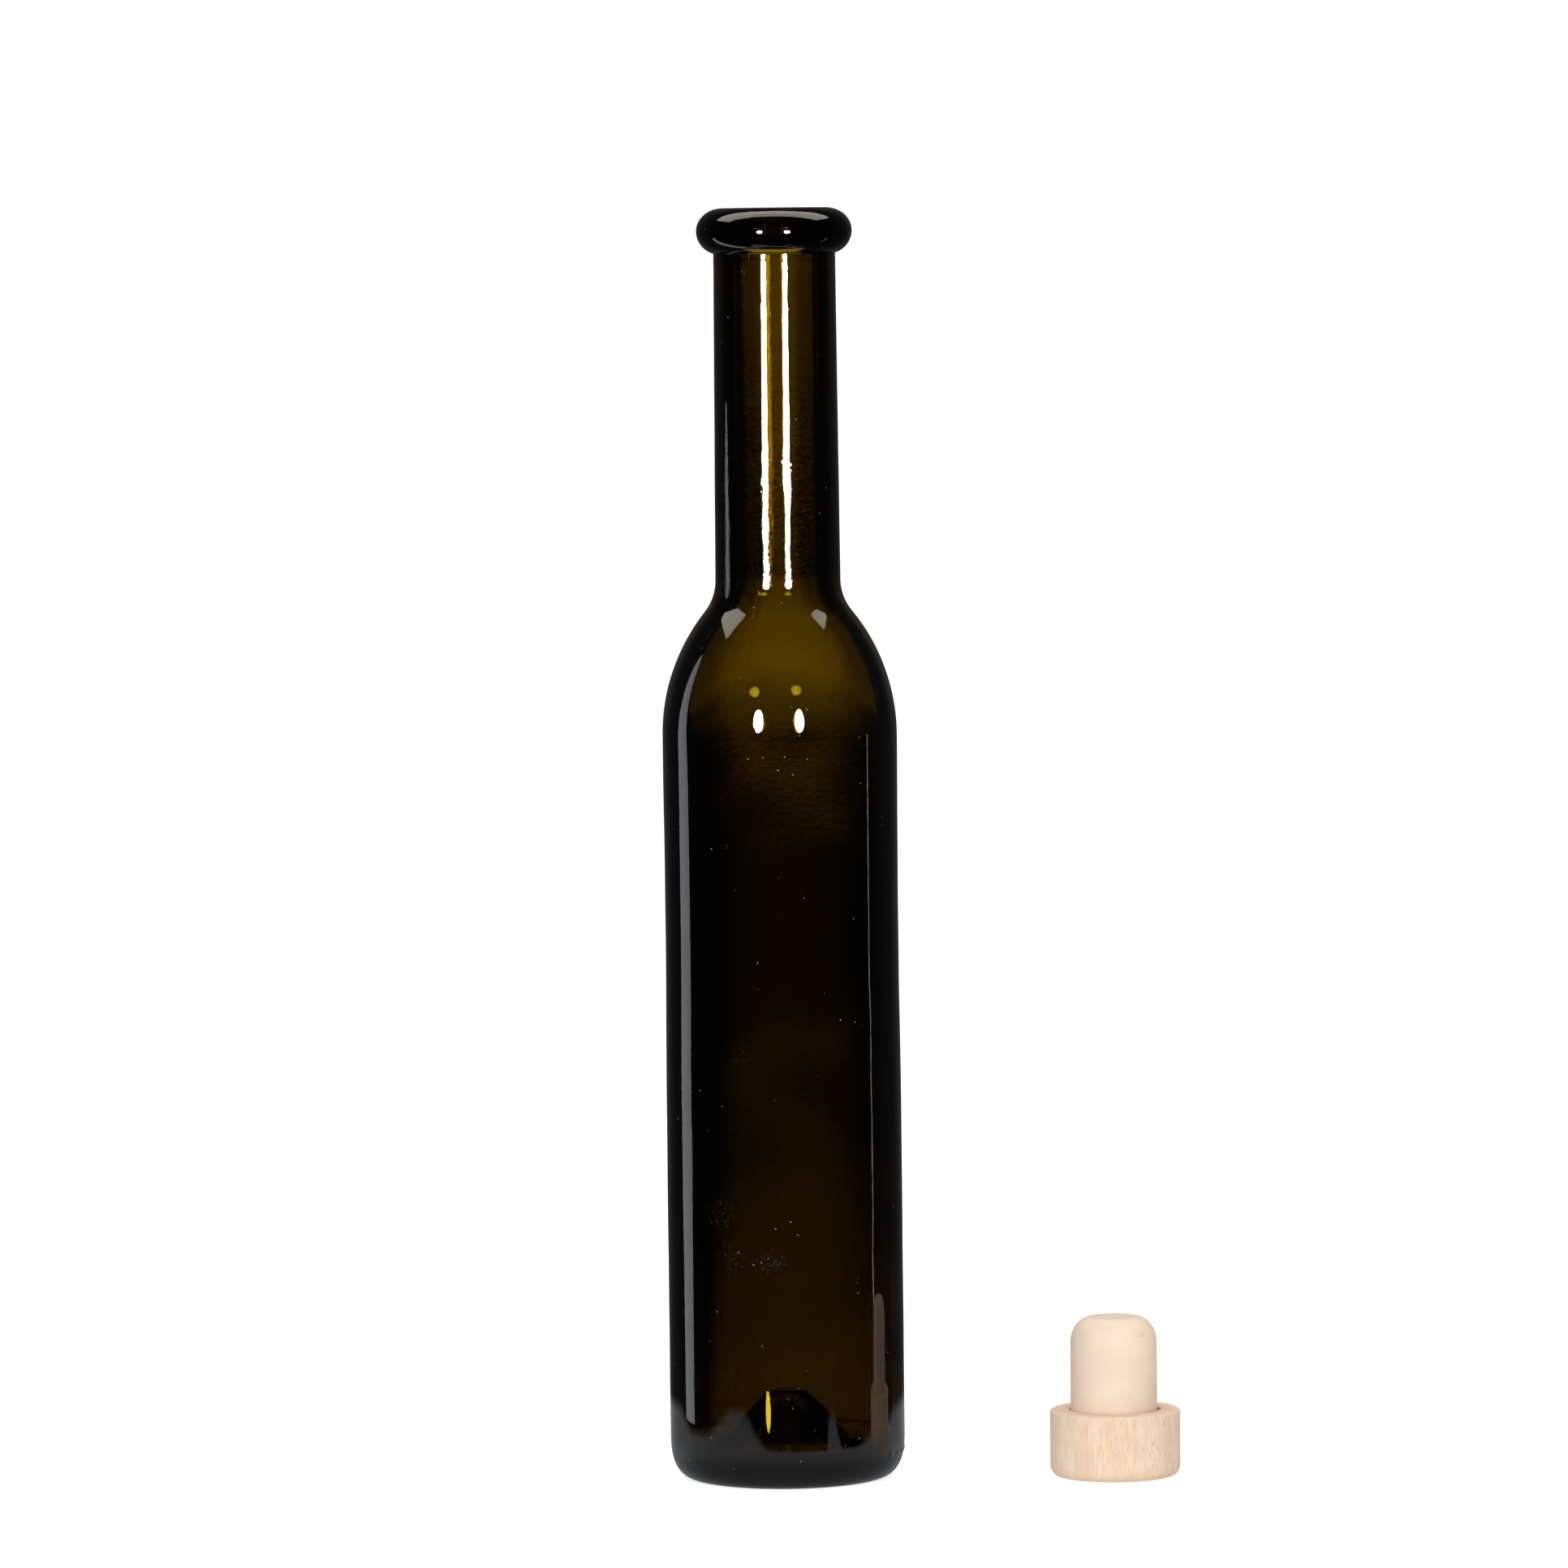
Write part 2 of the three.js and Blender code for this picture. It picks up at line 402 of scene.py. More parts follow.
def parting_lift(z):
    """The low ring under the lip, where the neck mould stops."""
    parting_z = HEIGHT - LIP_RISE - LIP_UNDERSIDE - PARTING_BELOW_LIP
    return PARTING_HEIGHT * math.exp(-((z - parting_z) / PARTING_WIDTH) ** 2)


def heel_dot_lift(angle, z):
    """A short row of small raised dots round the heel, on the stopper's side."""
    lift = 0.0
    if abs(z - HEEL_DOT_Z) < HEEL_DOT_REACH:
        for dot in HEEL_DOT_ANGLES:
            aside = turn_between(angle, dot) / HEEL_DOT_WIDE
            lift += math.exp(-aside ** 2 - ((z - HEEL_DOT_Z) / HEEL_DOT_TALL) ** 2)
    return HEEL_DOT_HEIGHT * lift


def columns_near(angle, width, offsets):
    return [(angle + offset * width) % (2 * math.pi) for offset in offsets]


def bottle_angles():
    """Even columns, with more of them at the dots and the seams."""
    angles = even_angles(COLUMNS)
    for dot in HEEL_DOT_ANGLES:
        angles += columns_near(dot, HEEL_DOT_WIDE, HEEL_DOT_COLUMNS)
    for seam in SEAM_ANGLES:
        angles += columns_near(seam, SEAM_WIDTH, SEAM_COLUMNS)
    return sorted(set(angles))


def outside_radius(radius, angle, z):
    if radius > PUSH_UP_RADIUS or z > PUSH_UP_DEPTH:
        calm = smooth_step(z, *OUTER_CALM_TO_Z)
        radius += calm * OUTER_RIPPLE * ripple(radius, angle, z, OUTER_RIPPLE_SIZE, OUTER_RIPPLE_SEED)
        radius += seam_lift(angle, z) + parting_lift(z) + heel_dot_lift(angle, z)
    return radius


def inside_radius(radius, angle, z):
    if radius > TINY:
        calm = smooth_step(HEIGHT - z, *INNER_CALM_TO_DEPTH)
        waves = ripple(radius, angle, z * INNER_RIPPLE_DRAWN, INNER_RIPPLE_SIZE, INNER_RIPPLE_SEED)
        radius += calm * INNER_RIPPLE * waves
        lean = math.cos(angle - WALL_LEAN_TURN) * smooth_step(radius, *WALL_LEAN_FROM_RADIUS)
        radius += calm * WALL_LEAN * lean
    return radius


def make_bottle():
    outside = walked(glass_outside(), ROW_STRIDE)
    inside = walked(glass_inside(), ROW_STRIDE)

    def place(index, row, angle):
        skin = outside_radius if index < len(outside) else inside_radius
        radius, z = row
        return set_round(BOTTLE_AXIS, skin(radius, angle, z), angle, z)

    return turned_mesh("glass_bottle", outside + inside, bottle_angles(), place)


def make_head():
    rows = walked(head_outline(), STOPPER_STRIDE)

    def place(index, row, angle):
        radius, z = row
        if radius > TINY:
            radius += HEAD_RIPPLE * ripple(radius, angle, z, HEAD_RIPPLE_SIZE, HEAD_RIPPLE_SEED)
            radius += RAISED_GRAIN * ripple(
                radius, angle, z * RAISED_GRAIN_DRAWN, RAISED_GRAIN_SIZE, RAISED_GRAIN_SEED)
        return set_round(HEAD_AXIS, radius, angle, z)

    return turned_mesh("beech_head", rows, even_angles(STOPPER_COLUMNS), place)


def make_plug():
    rows = walked(plug_outline(), STOPPER_STRIDE)

    def place(index, row, angle):
        radius, z = row
        if radius > TINY:
            radius += PLUG_RIPPLE * ripple(radius, angle, z, PLUG_RIPPLE_SIZE, PLUG_RIPPLE_SEED)
        x, y, up = set_round(PLUG_AXIS, radius, angle, z)
        return (x + PLUG_LEAN * (z - PLUG_FOOT) * MM, y, up)

    return turned_mesh("beige_plug", rows, even_angles(STOPPER_COLUMNS), place)


# Finishes

def rgb(red, green, blue):
    return (red, green, blue, 1.0)


WHITE = rgb(1.0, 1.0, 1.0)

# The glass: how much of each colour its tint lets through, and its density to the metre
GLASS_TINT = rgb(0.652, 0.574, 0.0)
GLASS_DENSITY = 1150.0
GLASS_FILM = rgb(0.97, 0.96, 0.93)
DUST = rgb(0.3, 0.29, 0.26)

# The beech and the moulded plug
BEECH_BAND = rgb(0.84, 0.64, 0.475)
BEECH_PALE = rgb(0.91, 0.73, 0.58)
BEECH_FIBRE = rgb(0.68, 0.49, 0.34)
BEECH_FLECK = rgb(0.88, 0.52, 0.3)
# BEECH_EDGE is painted shade on the head's bottom edge, and it also darkens the top face a little
BEECH_EDGE = rgb(0.78, 0.53, 0.35)
BEECH_PORE = rgb(0.6, 0.33, 0.2)
PLUG_SHADE = rgb(0.825, 0.665, 0.515)
PLUG_CREAM = rgb(0.87, 0.71, 0.56)
PLUG_ROSY = rgb(0.86, 0.68, 0.58)
PLUG_RUBBED = rgb(0.62, 0.46, 0.34)

# Heights between which the neck's foot has an orange-peel skin, in metres
PEEL_FROM = (0.19, 0.196)
PEEL_TO = (0.215, 0.245)

# Places from the head's and the plug's axes, and reaches, in millimetres
FLECKS_AT = (-4, -13.7, 7.5)
FLECKS_REACH = 8
RUB_AT = (6.6, -6.8, 31.6)
RUB_REACH = 1.5
RUB_NARROWING = 0.35


class Reading:
    """What one socket gives; sums and products of readings add Math nodes to the same recipe."""

    def __init__(self, recipe, socket):
        self.recipe = recipe
        self.socket = socket

    def beside(self, name):
        """Another output of the node that this reading comes from."""
        return Reading(self.recipe, self.socket.node.outputs[name])

    def __add__(self, other):
        return self.recipe.maths("ADD", self, other)

    def __radd__(self, other):
        return self.recipe.maths("ADD", other, self)

    def __sub__(self, other):
        return self.recipe.maths("SUBTRACT", self, other)

    def __rsub__(self, other):
        return self.recipe.maths("SUBTRACT", other, self)

    def __mul__(self, other):
        return self.recipe.maths("MULTIPLY", self, other)

    def __rmul__(self, other):
        return self.recipe.maths("MULTIPLY", other, self)

    def __truediv__(self, other):
        return self.recipe.maths("DIVIDE", self, other)

    def __rtruediv__(self, other):
        return self.recipe.maths("DIVIDE", other, self)

    def __abs__(self):
        return self.recipe.maths("ABSOLUTE", self)


class Recipe:
    """The nodes of one finish, or of the surroundings."""

    def __init__(self, tree):
        tree.nodes.clear()
        self.tree = tree

    def node(self, kind, settings=None, sockets=None, output=0):
        """A node with its settings made first; gives the reading of one output, or nothing."""
        made = self.tree.nodes.new(kind)
        for name, value in (settings or {}).items():
            if name == "stops":
                self.set_stops(made.color_ramp, value)
            else:
                setattr(made, name, value)
        for name, value in (sockets or {}).items():
            if isinstance(value, Reading):
                self.tree.links.new(value.socket, made.inputs[name])
            else:
                made.inputs[name].default_value = value
        return Reading(self, made.outputs[output]) if output is not None else None

    def set_stops(self, ramp, stops):
        while len(ramp.elements) < len(stops):
            ramp.elements.new(1.0)
        for element, (position, colour) in zip(ramp.elements, stops):
            element.position = position
            element.color = (*colour, 1.0)

    def maths(self, operation, *values):
        return self.node("ShaderNodeMath", {"operation": operation}, dict(enumerate(values)))

    def vector_maths(self, operation, *values, output="Vector"):
        return self.node(
            "ShaderNodeVectorMath", {"operation": operation}, dict(enumerate(values)), output)

    def parts(self, vector):
        """The X reading of a vector; Y and Z are beside it."""
        return self.node("ShaderNodeSeparateXYZ", {}, {0: vector}, "X")

    def step(self, value, low, high):
        """0 below low, 1 above high and smooth between; low may be the larger."""
        return self.node(
            "ShaderNodeMapRange",
            {"interpolation_type": "SMOOTHSTEP"},
            {"Value": value, "From Min": low, "From Max": high, "To Min": 0.0, "To Max": 1.0},
        )

    def colour_mix(self, factor, first, second):
        return self.node(
            "ShaderNodeMix", {"data_type": "RGBA"}, {0: factor, 6: first, 7: second}, output=2)

    def scaled(self, colour, level):
        return self.node("ShaderNodeVectorMath", {"operation": "SCALE"}, {0: colour, "Scale": level})

    def either(self, factor, first, second):
        """The first shader where the factor is 0, the second where it is 1."""
        return self.node("ShaderNodeMixShader", {}, {0: factor, 1: first, 2: second})

    def place(self, scale=(1.0, 1.0, 1.0), shift=(0.0, 0.0, 0.0)):
        """The piece's own coordinates in metres, stretched by scale."""
        spot = self.node("ShaderNodeTexCoord", output="Object")
        return self.node("ShaderNodeMapping", {}, {"Vector": spot, "Scale": scale, "Location": shift})

    def clouds(self, where, scale, detail=2.0, roughness=0.5):
        """Soft noise from 0 to 1; scale is how many clouds go into a metre."""
        return self.node(
            "ShaderNodeTexNoise",
            {},
            {"Vector": where, "Scale": scale, "Detail": detail, "Roughness": roughness},
        )

    def specks(self, where, scale, size, share):
        """Small round specks, in the given share of the cells; scale is cells to the metre."""
        cells = self.node(
            "ShaderNodeTexVoronoi", {}, {"Vector": where, "Scale": scale, "Randomness": 1.0}, "Distance")
        chosen = self.node("ShaderNodeSeparateColor", {}, {0: cells.beside("Color")})
        return (1 - self.step(cells, 0.5 * size, size)) * self.step(chosen, 1 - share, 1 - 0.9 * share)

    def spot(self, where, middle, reach):
        """1 near the middle of a spot, falling to 0 at its reach, in metres."""
        away = self.vector_maths("DISTANCE", where, middle, output="Value")
        return 1 - self.step(away, 0.3 * reach, reach)

    def bump(self, height, distance):
        return self.node("ShaderNodeBump", {}, {"Height": height, "Distance": distance, "Strength": 1.0})

    def surface(self, shader, **others):
        self.node("ShaderNodeOutputMaterial", {}, {"Surface": shader, **others}, output=None)


def new_finish(name):
    material = bpy.data.materials.new(name)
    material.use_nodes = True
    return material, Recipe(material.node_tree)


def glass_scuffs(recipe, here):
    """Rubbed places on the side towards the camera, on the body or on the neck."""
    scuffs = 0.0
    for x, z, reach in SCUFFS:
        radius = NECK_BASE_RADIUS if z > SHOULDER_Z + SHOULDER_RISE else BODY_RADIUS
        middle = (BOTTLE_AXIS.x + x * MM, BOTTLE_AXIS.y - math.sqrt(radius ** 2 - x * x) * MM, z * MM)
        scuffs = scuffs + recipe.spot(here, middle, reach * MM)
    return scuffs


def bottle_glass():
    material, recipe = new_finish("dark_green_glass")
    here = recipe.place()
    height = recipe.parts(here).beside("Z")
    low_neck = recipe.step(height, *PEEL_FROM) * (1 - 0.75 * recipe.step(height, *PEEL_TO))
    patches = recipe.step(recipe.clouds(here, 90.0), 0.35, 0.65)
    peel = recipe.clouds(here, 900.0)
    sparkle = recipe.clouds(here, 2100.0, 1.0)
    drawn = recipe.clouds(recipe.place((1.0, 1.0, 0.06)), 420.0)
    relief = peel * (0.15 + 0.6 * low_neck) + sparkle * low_neck * (0.5 + 1.3 * patches) + drawn * 0.3
    film = recipe.step(recipe.clouds(here, 60.0, 4.0), 0.45, 0.75)
    glass = recipe.node(
        "ShaderNodeBsdfPrincipled",
        {},
        {
            "Base Color": recipe.colour_mix(film, WHITE, GLASS_FILM),
            "Roughness": 0.006 + 0.012 * film,
            "IOR": 1.52,
            "Transmission Weight": 1.0,
            "Normal": recipe.bump(relief, 0.00002),
        },
    )
    fluff = recipe.clouds(here, 1500.0, 5.0, 0.75)
    scuffs = glass_scuffs(recipe, here) * recipe.step(fluff, 0.52, 0.72)
    dust = recipe.specks(here, 620.0, 0.09, 0.1) + recipe.specks(here, 240.0, 0.03, 0.12)
    lint = recipe.step(fluff, 0.6, 0.9) * recipe.step(recipe.clouds(here, 45.0), 0.5, 0.8)
    settled = recipe.maths("MINIMUM", 0.5 * dust + 0.035 * scuffs + 0.012 * lint, 0.6)
    powder = recipe.node("ShaderNodeBsdfDiffuse", {}, {"Color": DUST})
    dark = recipe.node("ShaderNodeVolumeAbsorption", {}, {"Color": GLASS_TINT, "Density": GLASS_DENSITY})
    recipe.surface(recipe.either(settled, glass, powder), Volume=dark)
    return material


def turned_beech():
    """Upright bands, fibres and short pores, with flecks in front and a few more pores to the right."""
    material, recipe = new_finish("turned_beech")
    here = recipe.place()
    side = recipe.parts(here)
    height = side.beside("Z")
    sway = recipe.clouds(recipe.place((1.0, 1.0, 0.5)), 160.0)
    bent = recipe.vector_maths("MULTIPLY_ADD", sway.beside("Color"), (0.0011, 0.0011, 0.0), here)
    along = recipe.vector_maths("MULTIPLY", bent, (1.0, 1.0, 0.11))
    long_way = recipe.vector_maths("MULTIPLY", bent, (1.0, 1.0, 0.15))
    bands = recipe.clouds(along, 300.0)
    fibres = recipe.clouds(along, 2100.0, 3.0, 0.6)
    pores = recipe.clouds(long_way, 2900.0, 1.0)
    crowded = recipe.step(recipe.clouds(here, 110.0), 0.4, 0.7)
    to_the_right = recipe.step(side, HEAD_AXIS.x - 6 * MM, HEAD_AXIS.x + 9 * MM)
    threshold = 0.69 - 0.045 * to_the_right - 0.05 * crowded
    strokes = recipe.step(pores - threshold, 0.0, 0.05)
    flecks = recipe.step(recipe.clouds(recipe.place((1.0, 1.0, 0.6)), 520.0), 0.52, 0.66)
    flecks_middle = (HEAD_AXIS.x + FLECKS_AT[0] * MM, HEAD_AXIS.y + FLECKS_AT[1] * MM, FLECKS_AT[2] * MM)
    near_flecks = recipe.spot(here, flecks_middle, FLECKS_REACH * MM)
    # Painted shade: the bottom edge, which turns under towards the floor, is darkened and warmed towards
    # BEECH_EDGE; the top face is darkened a little with the same colour
    shaded_bottom_edge = 1 - recipe.step(height, 0.6 * MM, 3.2 * MM)
    on_top = recipe.step(height, (HEAD_HEIGHT - 0.6) * MM, (HEAD_HEIGHT - 0.1) * MM)
    banded = recipe.colour_mix(recipe.step(bands, 0.3, 0.7), BEECH_BAND, BEECH_PALE)
    combed = recipe.colour_mix(recipe.step(fibres, 0.35, 0.75) * 0.55, banded, BEECH_FIBRE)
    flecked = recipe.colour_mix(flecks * (0.05 + 0.45 * near_flecks), combed, BEECH_FLECK)
    edged = recipe.colour_mix(0.45 * shaded_bottom_edge + 0.2 * on_top, flecked, BEECH_EDGE)
    pored = recipe.colour_mix(strokes * (0.24 + 0.2 * to_the_right) * (1 - on_top), edged, BEECH_PORE)
    turning = recipe.clouds(recipe.place((0.1, 0.1, 1.0)), 2600.0, 1.0)
    wood = recipe.node(
        "ShaderNodeBsdfPrincipled",
        {},
        {
            "Base Color": pored,
            "Roughness": 0.52 + 0.2 * fibres,
            "Specular IOR Level": 0.35,
            "Normal": recipe.bump(fibres * 0.5 - strokes * 0.4 + turning * 0.2, 0.00006),
        },
    )
    recipe.surface(wood)
    return material


def plug_rub(recipe, here):
    """A short rub mark across the plug's right side, below its nose."""
    narrowed = recipe.vector_maths("MULTIPLY", here, (RUB_NARROWING, RUB_NARROWING, 1.0))
    middle = ((PLUG_AXIS.x + RUB_AT[0] * MM) * RUB_NARROWING,
              (PLUG_AXIS.y + RUB_AT[1] * MM) * RUB_NARROWING, RUB_AT[2] * MM)
    uneven = recipe.step(recipe.clouds(narrowed, 1500.0, 3.0), 0.35, 0.7)
    return recipe.spot(narrowed, middle, RUB_REACH * MM) * uneven


def plug_beige():
    material, recipe = new_finish("plug_beige")
    here = recipe.place()
    cloud = recipe.step(recipe.clouds(here, 110.0, 3.0), 0.3, 0.7)
    blush = recipe.step(recipe.clouds(recipe.place((1.0, 1.0, 0.4), (0.3, 0.1, 0.2)), 190.0), 0.4, 0.75)
    grain = recipe.clouds(here, 5200.0)
    specks = recipe.specks(here, 900.0, 0.16, 0.06)
    to_the_left = 1 - recipe.step(recipe.parts(here), PLUG_AXIS.x - 9 * MM, PLUG_AXIS.x + 2 * MM)
    cream = recipe.colour_mix(cloud, PLUG_SHADE, PLUG_CREAM)
    rosy = recipe.colour_mix(0.3 * blush + 0.25 * to_the_left, cream, PLUG_ROSY)
    rubbed = recipe.colour_mix(0.35 * plug_rub(recipe, here) + 0.25 * specks, rosy, PLUG_RUBBED)
    skin = recipe.node(
        "ShaderNodeBsdfPrincipled",
        {},
        {
            "Base Color": rubbed,
            "Roughness": 0.46 + 0.12 * cloud + 0.08 * grain,
            "Specular IOR Level": 0.4,
            "Normal": recipe.bump(grain + 0.6 * cloud, 0.00002),
        },
    )
    recipe.surface(skin)
    return material


# Studio: what the glass mirrors and what shows through it are kept apart, as levels of plain light

FLOOR_HALF = 6.0
FLOOR_GREY = rgb(0.5, 0.5, 0.5)
FLOOR_GLOW = 0.8
FLOOR_FOR_MATT = rgb(1.0, 0.97, 0.94)
FLOOR_FOR_MATT_LEVEL = 0.85
# Colour of the painted light that the glass mirrors off the floor
MIRRORED_FLOOR = (0.92, 0.96, 1.0)

# The painted pool of light on the floor that the heel mirrors: its reach from the bottle's axis, in metres
SHEET_REACH = 0.075
SHEET_MORE_LEFT = 0.07
SHEET_MORE_RIGHT = 0.065
SHEET_MORE_ASIDE = 0.025
SHEET_MORE_BEHIND = 0.035


def mirrored_floor(recipe, here):
    """The floor's light as the glass mirrors it, painted by its place round the bottle: a lit sheet with
    painted shadow near the bottle's foot; turns are in degrees.
    """
    away = recipe.vector_maths("LENGTH", here, output="Value")
    x = recipe.parts(here)
    turn = recipe.maths("DEGREES", recipe.maths("ARCTAN2", x, -1 * x.beside("Y")))
    left = 1 - recipe.step(abs(turn + 47), 3.0, 36.0)
    right = 1 - recipe.step(abs(turn - 40), 2.0, 8.0)
    to_the_sides = recipe.step(abs(turn), 55.0, 85.0)
    behind = recipe.step(abs(turn), 95.0, 125.0)
    reach = SHEET_REACH + SHEET_MORE_LEFT * left + SHEET_MORE_RIGHT * right
    reach = reach + SHEET_MORE_ASIDE * to_the_sides + SHEET_MORE_BEHIND * behind
    lit_sheet = 1 - recipe.step(away / reach, 0.88, 1.12)
    # Painted shadow: the sheet is darker close to the bottle's foot, and dimmer behind the bottle
    unshaded = (0.3 + 0.2 * recipe.step(away, 0.028, 0.05)) * (1 - 0.4 * behind)
    dim = 0.01 + 0.02 * recipe.step(abs(turn), 80.0, 130.0) + 0.03 * recipe.step(abs(turn), 135.0, 160.0)
    return dim + lit_sheet * unshaded


def pale_floor():
    """The camera sees a pale floor with shadows on it, and nothing of it shows through the glass."""
    material, recipe = new_finish("pale_floor")
    here = recipe.place(shift=(-BOTTLE_AXIS.x, -BOTTLE_AXIS.y, 0.0))
    matt = recipe.node("ShaderNodeBsdfDiffuse", {}, {"Color": FLOOR_GREY})
    glow = recipe.node("ShaderNodeEmission", {}, {"Color": WHITE, "Strength": FLOOR_GLOW})
    seen_by_camera = recipe.node("ShaderNodeAddShader", {}, {0: matt, 1: glow})
    seen_by_matt = recipe.node(
        "ShaderNodeEmission", {}, {"Color": FLOOR_FOR_MATT, "Strength": FLOOR_FOR_MATT_LEVEL})
    # What the glass mirrors of the floor is painted light: a lit sheet round the bottle, with a painted
    # shadow at its foot
    level = mirrored_floor(recipe, here)
    mirrored = recipe.node(
        "ShaderNodeEmission", {}, {"Color": recipe.scaled(MIRRORED_FLOOR, level), "Strength": 1.0})
    gap = recipe.node("ShaderNodeBsdfTransparent")
    camera = recipe.node("ShaderNodeLightPath", output="Is Camera Ray")
    unmirrored = recipe.either(camera, seen_by_matt, seen_by_camera)
    outside_the_glass = recipe.either(camera.beside("Is Glossy Ray"), unmirrored, mirrored)
    recipe.surface(recipe.either(camera.beside("Is Transmission Ray"), outside_the_glass, gap))
    return material


def studio_floor():
    data = bpy.data.meshes.new("floor")
    corners = [(-1, -1), (1, -1), (1, 1), (-1, 1)]
    data.from_pydata([(x * FLOOR_HALF, y * FLOOR_HALF, 0.0) for x, y in corners], [], [(0, 1, 2, 3)])
    data.materials.append(pale_floor())
    floor = bpy.data.objects.new("floor", data)
    bpy.context.scene.collection.objects.link(floor)
    return floor


# How bright the room behind the glass is, by degrees above the level
ROOM_LOWEST = -12.0
ROOM_HIGHEST = 0.0
ROOM_BRIGHTEST = 1.6
ROOM_BANDS = (
    (-12.0, 0.3), (-8.2, 0.35), (-7.6, 0.34), (-7.3, 0.26), (-6.4, 0.2), (-5.9, 0.08),
    (-5.3, 0.05), (-4.6, 0.057), (-4.15, 0.05), (-3.8, 0.068), (-3.68, 0.14), (-3.54, 0.34), (-3.2, 0.47),
    (-2.9, 0.6), (-2.3, 0.9), (-1.6, 1.5), (0.0, 1.5),
)

# The light from below and from above that shows through the glass
TABLE_LEVEL = 0.04
TABLE_RIGHT_LEVEL = 1.3
TABLE_STEEP_LEVEL = 0.35
OVERHEAD_LEVEL = 2.4

# The rest of the surroundings: what the camera sees, what lights the matt things
BACKDROP_LEVEL = 1.05
SKY_FOR_MATT_LEVEL = 0.56
LOW_ROOM_TINT = rgb(1.0, 0.8, 0.5)


def room_behind(recipe, x, y, elevation, high):
    """The room as it shows through the glass: a window of light behind each of the four sides."""
    along = recipe.node(
        "ShaderNodeMapRange", {},
        {"Value": elevation, "From Min": ROOM_LOWEST, "From Max": ROOM_HIGHEST})
    span = ROOM_HIGHEST - ROOM_LOWEST
    stops = [((height - ROOM_LOWEST) / span, (light / ROOM_BRIGHTEST,) * 3) for height, light in ROOM_BANDS]
    bands = ROOM_BRIGHTEST * recipe.node("ShaderNodeValToRGB", {"stops": stops}, {0: along})
    turn = recipe.maths("DEGREES", recipe.maths("ARCTAN2", x, y))
    aside = turn - 90 * recipe.maths("ROUND", turn / 90)
    hump = 1 - recipe.step(abs(aside - 0.2), 2.0, 10.0)
    near_table = recipe.step(elevation, -5.6, -7.8)
    narrower = recipe.step(elevation, -0.9, -2.5) * (1 - near_table)
    pane = recipe.step(aside - 3.5 * narrower, -19.0, -17.0) * (1 - recipe.step(aside, 19.0, 24.0))
    upper = pane * (0.4 + 0.6 * hump)
    right_fall = 0.7 * (1 - near_table) * recipe.step(aside, -1.0, 9.0)
    lower = recipe.step(aside + 4 * near_table, -7.0, -1.5) * (1 - right_fall)
    window = (lower + (upper - lower) * high) * (1 - 0.7 * narrower * recipe.step(abs(aside), 2.5, 9.0))
    below_ceiling = 1 - recipe.step(elevation, 8.0, 20.0)
    table = recipe.step(elevation, -9.0, -14.0)
    steep = recipe.step(elevation, -13.0, -18.0) * recipe.step(elevation, -42.0, -30.0)
    to_the_right = recipe.step(aside, 8.0, 16.0) * (1 - recipe.step(aside, 26.0, 42.0))
    table_light = TABLE_LEVEL + TABLE_RIGHT_LEVEL * to_the_right * (1 - steep) + TABLE_STEEP_LEVEL * steep
    overhead = recipe.step(elevation, 28.0, 33.0) * (1 - recipe.step(elevation, 40.0, 46.0))
    overhead = overhead * (1 - recipe.step(abs(aside), 12.0, 20.0))
    return window * bands * below_ceiling * (1 - table) + table_light * table + OVERHEAD_LEVEL * overhead


def studio_surroundings():
    world = bpy.data.worlds.new("studio")
    bpy.context.scene.world = world
    world.use_nodes = True
    world.cycles.sampling_method = "NONE"
    recipe = Recipe(world.node_tree)
    x = recipe.parts(recipe.node("ShaderNodeTexCoord", output="Generated"))
    y = x.beside("Y")
    elevation = recipe.maths("DEGREES", recipe.maths("ARCSINE", x.beside("Z")))
    high = recipe.step(elevation, -4.2, -2.6)
    behind = room_behind(recipe, x, y, elevation, high)
    mirrored = 0.01 + 0.02 * recipe.step(y, -0.1, 0.6) + 0.03 * recipe.step(y, 0.7, 0.93)
    camera = recipe.node("ShaderNodeLightPath", output="Is Camera Ray")
    through = camera.beside("Is Transmission Ray")
    glossy = camera.beside("Is Glossy Ray") * (1 - through)
    other = 1 - camera - glossy - through
    level = camera * BACKDROP_LEVEL + glossy * mirrored + through * behind + other * SKY_FOR_MATT_LEVEL
    tone = recipe.colour_mix(through * (1 - high), WHITE, LOW_ROOM_TINT)
    sky = recipe.node("ShaderNodeBackground", {}, {"Color": recipe.scaled(tone, level), "Strength": 1.0})
    recipe.node("ShaderNodeOutputWorld", {}, {"Surface": sky}, output=None)


# Lamps: turns in degrees from the camera's side of the bottle, sizes and places in metres
FRONT_LAMPS = (("left", -21), ("right", 19))
FRONT_DISTANCE = 0.53
FRONT_HEIGHT = 0.238
FRONT_SIZE = (0.083, 0.122)
CARD_SIZE = (0.034, 0.3)
CARD_COLOUR = (0.9, 0.93, 1.0)
SIDE_HEIGHT = 0.08
SIDE_SIZE = (0.006, 0.15)
TOP_HEIGHT = 0.8
OVERHEAD_SIZE = (1.21, 0.4)
OVERHEAD_COLOUR = (1.0, 0.97, 0.84)
SOFT_SIZE = (1.14, 0.9)
SOFT_COLOUR = (1.0, 0.98, 0.94)

# Small amber lamps that stand for the light spots inside the far wall: side, turn, height
GLINT_LAMPS = (("left", -26.5, 0.408), ("right", 18.0, 0.42))
GLINT_AIM_HEIGHT = 0.175
GLINT_SIZE = (0.1, 0.062)
GLINT_SPREAD = math.radians(20)
LOW_GLINT_SIZE = (0.008, 0.0095)
AMBER = (1.0, 0.72, 0.03)


def beside_axis(right, back, z):
    return (BOTTLE_AXIS.x + right, BOTTLE_AXIS.y + back, z)


def round_the_bottle(azimuth, distance, z):
    """A place at a turn from the camera's side of the bottle, positive to the right."""
    turn = math.radians(azimuth)
    return (BOTTLE_AXIS.x + distance * math.sin(turn), BOTTLE_AXIS.y - distance * math.cos(turn), z)


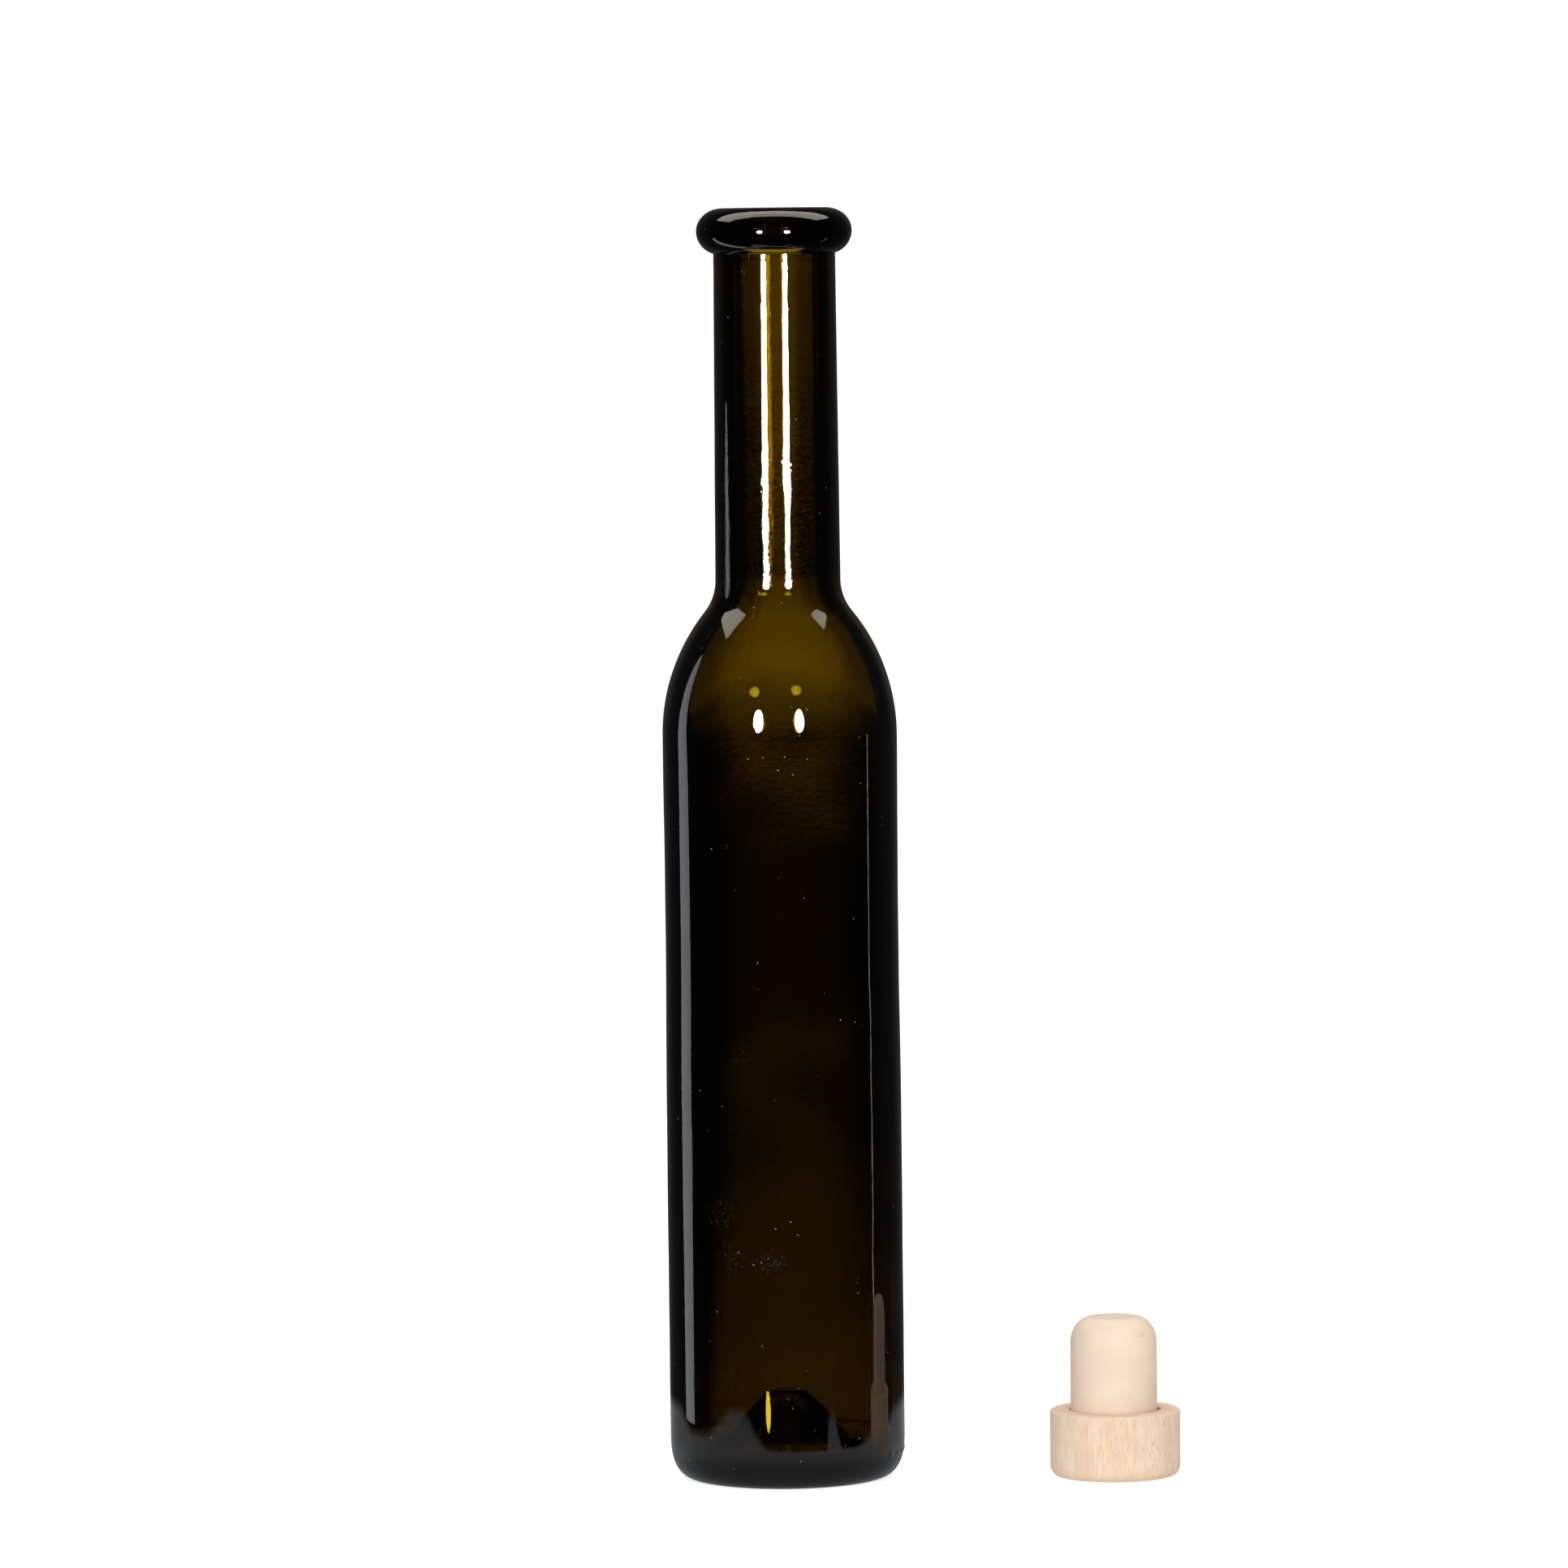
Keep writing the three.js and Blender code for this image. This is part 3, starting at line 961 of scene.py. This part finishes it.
def lamp(name, place, target, size, colour=(1.0, 1.0, 1.0), shape="RECTANGLE",
         spread=math.pi, seen_through=True, **levels):
    """An area light; levels gives its radiance for the glass and for the matt things.

    One that isn't seen through is mirrored by the glass, but doesn't show behind it.
    """
    width, height = size
    face = width * height * (math.pi / 4 if shape == "ELLIPSE" else 1)
    if spread < math.pi:
        half = spread / 2
        face *= (math.tan(half) - half) / math.tan(half)
    for lit, radiance in levels.items():
        data = bpy.data.lights.new(f"{name}_on_{lit}", "AREA")
        data.shape = shape
        data.spread = spread
        data.size = width
        data.size_y = height
        data.color = colour
        data.energy = radiance * face * math.pi
        light = bpy.data.objects.new(data.name, data)
        light.location = place
        aim = Vector(target) - Vector(place)
        light.rotation_euler = aim.to_track_quat("-Z", "Y").to_euler()
        light.visible_camera = False
        light.visible_transmission = seen_through
        light.light_linking.receiver_collection = bpy.data.collections[lit]
        bpy.context.scene.collection.objects.link(light)


def top_lamp(name, right, back, size, colour, **levels):
    lamp(name, beside_axis(right, back, TOP_HEIGHT), beside_axis(right, back, 0.0), size, colour, **levels)


def studio_lights():
    for side, azimuth in FRONT_LAMPS:
        spot = round_the_bottle(azimuth, FRONT_DISTANCE, FRONT_HEIGHT)
        aim = beside_axis(0, 0, FRONT_HEIGHT)
        lamp(f"front_{side}", spot, aim, FRONT_SIZE, shape="ELLIPSE", glass=200, matt=36)
    card = beside_axis(-0.115, 0.0235, 0.085)
    lamp("card_left", card, (BOTTLE_AXIS.x, card[1], card[2]), CARD_SIZE, CARD_COLOUR, "ELLIPSE",
         seen_through=False, glass=1.62)
    lamp("side_right", round_the_bottle(92.4, 0.3, SIDE_HEIGHT), beside_axis(0, 0, SIDE_HEIGHT), SIDE_SIZE,
         seen_through=False, glass=2.0)
    top_lamp("overhead", -0.055, 0.15, OVERHEAD_SIZE, OVERHEAD_COLOUR, glass=3.2)
    top_lamp("soft", -0.05, 0.42, SOFT_SIZE, SOFT_COLOUR, matt=1.36)
    for side, azimuth, z in GLINT_LAMPS:
        spot = round_the_bottle(azimuth, FRONT_DISTANCE, z)
        lamp(f"glint_{side}", spot, beside_axis(0, 0, GLINT_AIM_HEIGHT), GLINT_SIZE, AMBER, "ELLIPSE",
             GLINT_SPREAD, seen_through=False, glass=9)
    low_spot = round_the_bottle(-16.2, 0.1055, 0.0067)
    reflected_at = round_the_bottle(-9.2, BODY_RADIUS * MM, 0.0172)
    lamp("glint_low", low_spot, reflected_at, LOW_GLINT_SIZE, AMBER, "ELLIPSE",
         2 * GLINT_SPREAD, seen_through=False, glass=17)


def sort_for_lights(**groups):
    """Collections that the lamps are linked to by name."""
    for name, pieces in groups.items():
        group = bpy.data.collections.new(name)
        for piece in pieces:
            group.objects.link(piece)


# The photograph's camera: places in metres, its roll from the bottle's lean in the picture
CAMERA_RIGHT = 0.00082
CAMERA_BACK = 2.0
CAMERA_HEIGHT = 0.288
CAMERA_PITCH = math.radians(3.874)
CAMERA_ROLL = math.radians(-0.66)
CAMERA_SEES_TO = 50
SENSOR_WIDTH = 36.0
PHOTO_WIDTH = 1932
FOCAL_LENGTH_IN_PIXELS = 11283


def photograph_camera():
    data = bpy.data.cameras.new("camera")
    data.sensor_width = SENSOR_WIDTH
    data.lens = SENSOR_WIDTH * FOCAL_LENGTH_IN_PIXELS / PHOTO_WIDTH
    data.clip_end = CAMERA_SEES_TO
    camera = bpy.data.objects.new("camera", data)
    place = Matrix.Translation((BOTTLE_AXIS.x + CAMERA_RIGHT, -CAMERA_BACK, CAMERA_HEIGHT))
    tilt = Matrix.Rotation(QUARTER - CAMERA_PITCH, 4, "X")
    roll = Matrix.Rotation(CAMERA_ROLL, 4, "Z")
    camera.matrix_world = place @ tilt @ roll
    bpy.context.scene.collection.objects.link(camera)
    bpy.context.scene.camera = camera


def finish_piece(piece, material, node):
    piece.data.materials.append(material)
    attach(piece, "root")
    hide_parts(node)
    return piece


photograph_camera()
bottle = finish_piece(make_bottle(), bottle_glass(), "bottle")
head = finish_piece(make_head(), turned_beech(), "stopper_head")
plug = finish_piece(make_plug(), plug_beige(), "stopper_plug")
floor = studio_floor()
sort_for_lights(glass=[bottle], matt=[head, plug, floor])
studio_surroundings()
studio_lights()
bpy.context.scene.view_settings.view_transform = "Standard"
